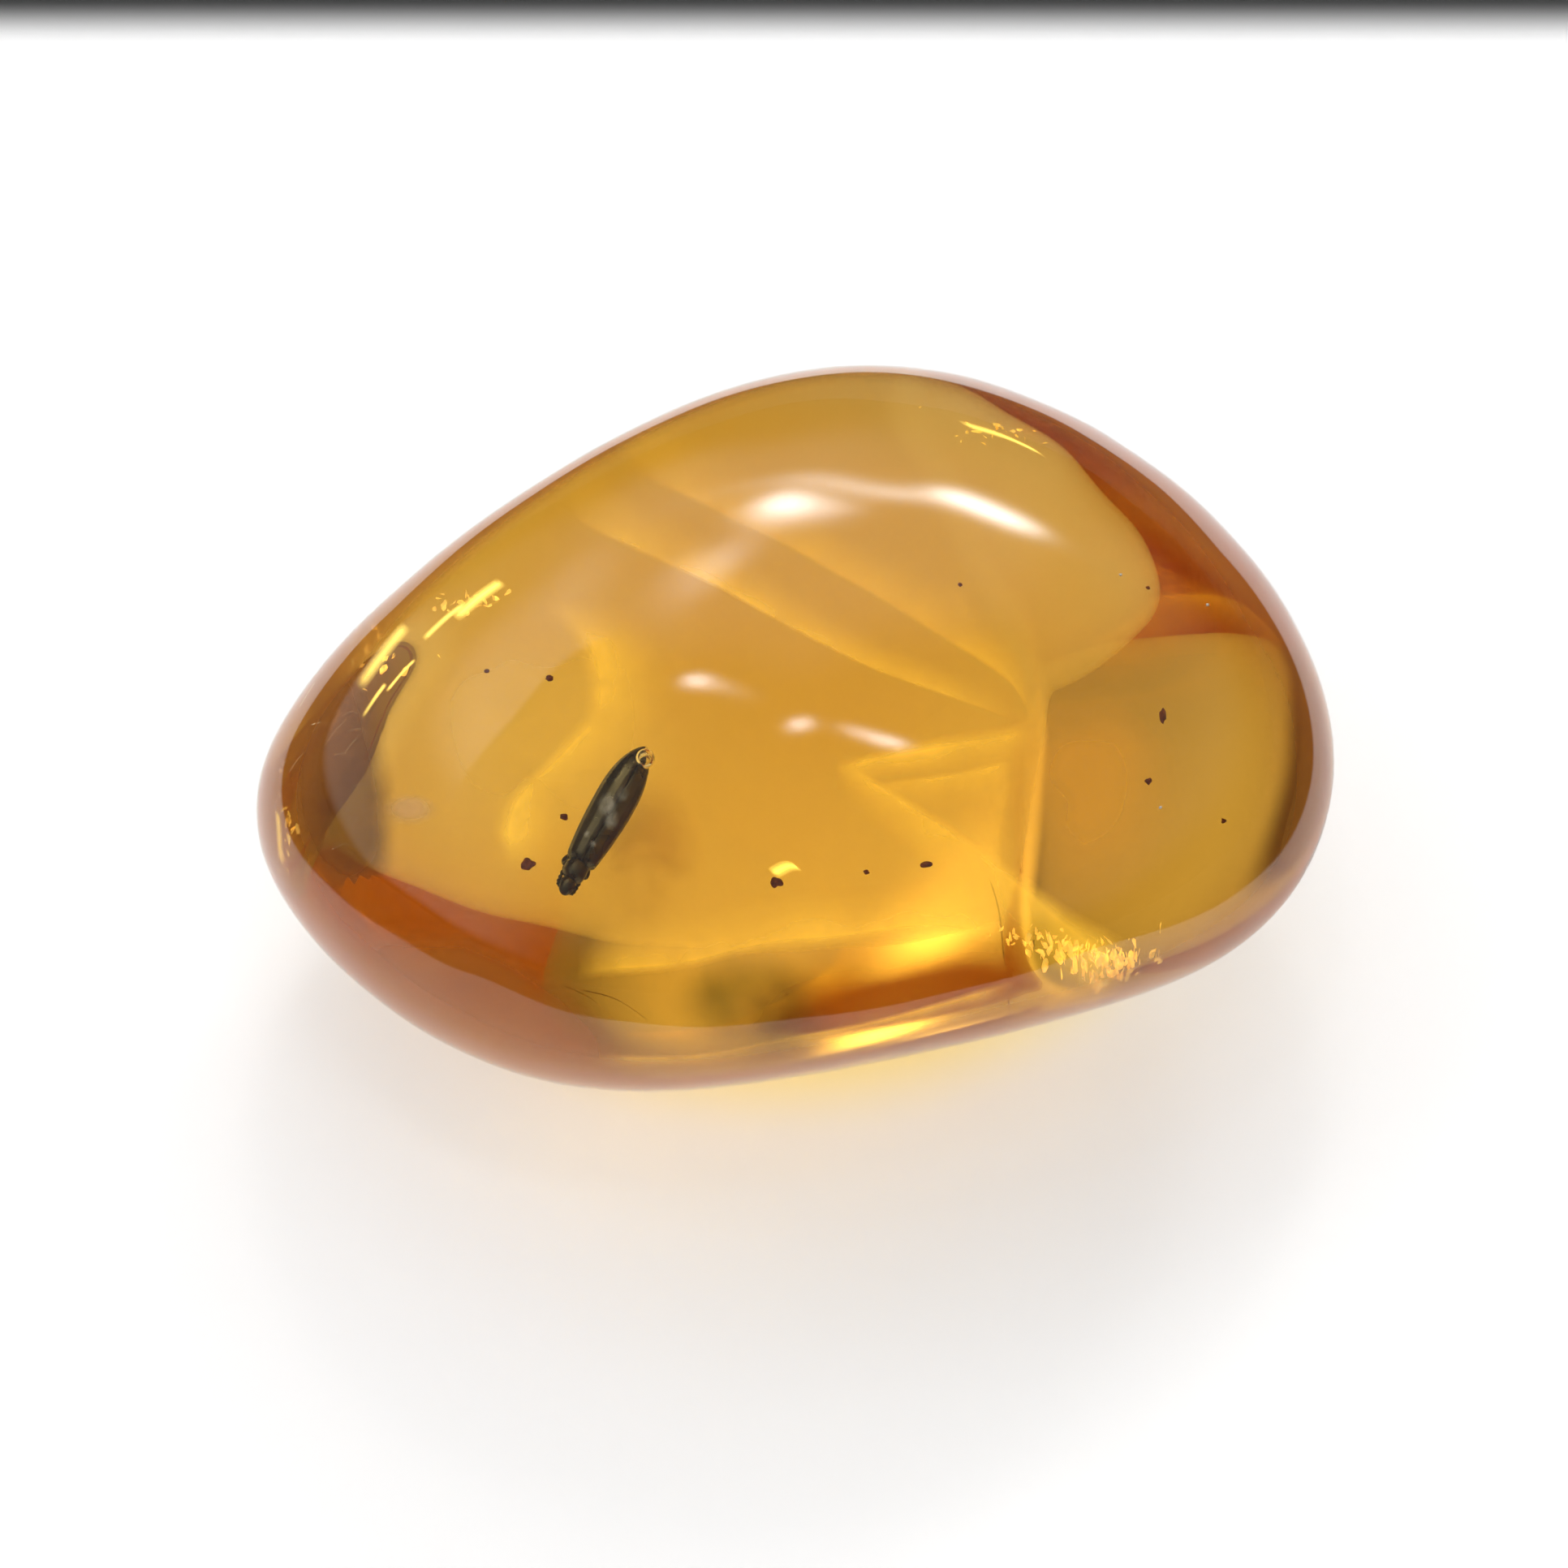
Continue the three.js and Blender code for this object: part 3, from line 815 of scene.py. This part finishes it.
# ---- Floor and light ---------------------------------------------------------------------------
# A small sheet of white acrylic, lit from below, on a dark bench, under a dim studio dome. Two
# soft lamps, two wide dim ones and a broad glow are behind, three small lamps hang overhead, and
# a card and a low light are at the left. A warm oval on the sheet stands for light from the amber.
FLOOR_GAP = 0.04
FLOOR_HALF = 1500
SHEET_HALF = (27, 29)
SHEET_SOFTNESS = 2
SHEET_GLOW = 0.42
BENCH_GREY = 0.05
POOL_GLOW = 0.46
POOL_TINT = (1, 0.78, 0.20)
POOL_SHIFT = (0.0005, -0.0005, 0)
POOL_STRETCH = (90, 112, 0)

floor_material, tree, shader = new_material("white_sheet", Roughness=0.6)
shader.inputs["Specular IOR Level"].default_value = 0.2
place = add_node(tree, "ShaderNodeTexCoord").outputs["Object"]
grain = add_node(tree, "ShaderNodeTexNoise", {"Vector": place, "Scale": 40, "Detail": 1})
tone = add_node(tree, "ShaderNodeMix", {"Factor": grain.outputs["Fac"]}, data_type="RGBA")
tone.inputs["A"].default_value = (0.91, 0.91, 0.91, 1)
tone.inputs["B"].default_value = (0.93, 0.93, 0.93, 1)
spot = add_node(tree, "ShaderNodeVectorMath", {0: place}, operation="ABSOLUTE").outputs[0]
spot = add_node(tree, "ShaderNodeSeparateXYZ", {0: spot}).outputs
in_x, in_y = (ramp_node(tree, spot[key], (half + SHEET_SOFTNESS) * MM, half * MM)
              for key, half in zip("XY", SHEET_HALF))
sheet = math_node(tree, "MULTIPLY", in_x, in_y)
bench = add_node(tree, "ShaderNodeMix", {"Factor": sheet}, data_type="RGBA")
bench.inputs["A"].default_value = (BENCH_GREY, BENCH_GREY, BENCH_GREY, 1)
tree.links.new(tone.outputs["Result"], bench.inputs["B"])
tree.links.new(bench.outputs["Result"], shader.inputs["Base Color"])
oval = add_node(tree, "ShaderNodeVectorMath", {0: place, 1: POOL_SHIFT}, operation="ADD")
oval = add_node(tree, "ShaderNodeVectorMath", {0: oval.outputs[0], 1: POOL_STRETCH}, operation="MULTIPLY")
oval = add_node(tree, "ShaderNodeVectorMath", {0: oval.outputs[0]}, operation="LENGTH")
pool = add_node(tree, "ShaderNodeMapRange", {"Value": oval.outputs["Value"]},
                interpolation_type="SMOOTHSTEP")
pool.inputs["From Min"].default_value = 1.05
pool.inputs["From Max"].default_value = 0.7
warm = add_node(tree, "ShaderNodeMix", {"Factor": pool.outputs["Result"]}, data_type="RGBA")
warm.inputs["A"].default_value = (SHEET_GLOW, SHEET_GLOW, SHEET_GLOW, 1)
warm.inputs["B"].default_value = (*(POOL_GLOW * part for part in POOL_TINT), 1)
tree.links.new(warm.outputs["Result"], shader.inputs["Emission Color"])
tree.links.new(sheet, shader.inputs["Emission Strength"])
corners = np.array([[-1, -1, 0], [1, -1, 0], [1, 1, 0], [-1, 1, 0]]) * FLOOR_HALF
mesh = bpy.data.meshes.new("table")
mesh.from_pydata(((corners - [0, 0, FLOOR_GAP]) * MM).tolist(), [], [[0, 1, 2, 3]])
mesh.materials.append(floor_material)
table = bpy.data.objects.new("table", mesh)
bpy.context.scene.collection.objects.link(table)

DOME_LIGHT = 0.33
HORIZON_LIGHT = 0.05
CARD_LIGHT = 1.1
LEFT_LIGHT = 0.30
LOW_LEFT_LIGHT = 0.75
BACK_LIGHT = 0.70
CARD_EDGE = (0.554, -0.708, 0.439)
REAR_DIRECTION = (0.0, 0.66, 0.75)
LAMPS = [
    # direction, direction of the long side, half width and half height as angles, brightness
    ((0.03, 0.73, 0.68), (1, 0.2, 0), 0.072, 0.060, 18),
    ((0.36, 0.78, 0.51), (1, -0.4, 0), 0.090, 0.055, 17),
    ((-0.12, 0.55, 0.82), (0.5, 1, 0), 0.14, 0.055, 3.5),
    ((0.18, 0.80, 0.57), (1, 0, 0), 0.20, 0.06, 5),
    ((-0.13, 0.08, 0.99), (1, -0.3, 0), 0.045, 0.032, 12),
    ((0.07, -0.07, 0.99), (1, -0.3, 0), 0.040, 0.030, 11),
    ((0.23, -0.10, 0.97), (1, -0.3, 0), 0.045, 0.028, 11),
]

# One soft lamp painted on the sky: an oval spot round the direction Out, which falls off along
# Side and Rise by a bell curve.
lamp_group = bpy.data.node_groups.new("soft_lamp", "ShaderNodeTree")
for key in ("Look", "Out", "Side", "Rise"):
    lamp_group.interface.new_socket(key, in_out="INPUT", socket_type="NodeSocketVector")
for key in ("Wide", "High", "Glow"):
    lamp_group.interface.new_socket(key, in_out="INPUT", socket_type="NodeSocketFloat")
lamp_group.interface.new_socket("Light", in_out="OUTPUT", socket_type="NodeSocketFloat")
given = add_node(lamp_group, "NodeGroupInput").outputs


def dot_node(tree, first, second):
    """The dot product of two vectors."""
    return add_node(tree, "ShaderNodeVectorMath", {0: first, 1: second}, operation="DOT_PRODUCT").outputs[1]


ahead = math_node(lamp_group, "GREATER_THAN", dot_node(lamp_group, given["Look"], given["Out"]), 0.0)
wide = math_node(lamp_group, "DIVIDE", dot_node(lamp_group, given["Look"], given["Side"]), given["Wide"])
high = math_node(lamp_group, "DIVIDE", dot_node(lamp_group, given["Look"], given["Rise"]), given["High"])
away = math_node(lamp_group, "ADD", math_node(lamp_group, "MULTIPLY", wide, wide), math_node(
    lamp_group, "MULTIPLY", high, high))
fall = math_node(lamp_group, "EXPONENT", math_node(lamp_group, "MULTIPLY", away, -1.0))
light = math_node(lamp_group, "MULTIPLY", math_node(lamp_group, "MULTIPLY", fall, ahead), given["Glow"])
out = add_node(lamp_group, "NodeGroupOutput")
lamp_group.links.new(light, out.inputs["Light"])

world = bpy.data.worlds.new("studio")
bpy.context.scene.world = world
world.use_nodes = True
tree = world.node_tree
look = add_node(tree, "ShaderNodeTexCoord").outputs["Generated"]
height = add_node(tree, "ShaderNodeSeparateXYZ", {0: look}).outputs
total = ramp_node(tree, height["Z"], 0.10, 0.40, DOME_LIGHT, HORIZON_LIGHT)
card = ramp_node(tree, dot_node(tree, look, CARD_EDGE), 0.01, -0.03)
card = math_node(tree, "MULTIPLY", card, ramp_node(tree, height["Z"], 0.55, 0.74, CARD_LIGHT))
card = math_node(tree, "MULTIPLY", card, ramp_node(tree, height["X"], -0.25, -0.45))
west = math_node(tree, "MULTIPLY", ramp_node(tree, height["X"], -0.5, -0.8), ramp_node(
    tree, height["Z"], 0.0, 0.08))
west = math_node(tree, "MULTIPLY", west, ramp_node(tree, height["Z"], 0.40, 0.12, LOW_LEFT_LIGHT, LEFT_LIGHT))
rear = ramp_node(tree, dot_node(tree, look, REAR_DIRECTION), 0.80, 0.98, BACK_LIGHT)
for part in (card, west, rear):
    total = math_node(tree, "ADD", total, part)
for toward, along, wide, high, glow in LAMPS:
    out = Vector(toward).normalized()
    side = (Vector(along) - out * Vector(along).dot(out)).normalized()
    lamp = add_node(tree, "ShaderNodeGroup", node_tree=lamp_group)
    tree.links.new(look, lamp.inputs["Look"])
    lamp.inputs["Out"].default_value = out
    lamp.inputs["Side"].default_value = side
    lamp.inputs["Rise"].default_value = out.cross(side)
    lamp.inputs["Wide"].default_value = wide
    lamp.inputs["High"].default_value = high
    lamp.inputs["Glow"].default_value = glow
    total = math_node(tree, "ADD", total, lamp.outputs["Light"])
# The map that steers light sampling and the noise threshold below are coarse, to save time.
world.cycles.sampling_method = "MANUAL"
world.cycles.sample_map_resolution = 512
tree.nodes["Background"].inputs["Color"].default_value = (1, 1, 1, 1)
tree.links.new(total, tree.nodes["Background"].inputs["Strength"])

scene = bpy.context.scene
scene.view_settings.view_transform = "Standard"
scene.cycles.max_bounces = 6
scene.cycles.transmission_bounces = 6
scene.cycles.glossy_bounces = 6
scene.cycles.diffuse_bounces = 2
scene.cycles.transparent_max_bounces = 10
scene.cycles.adaptive_threshold = 0.25
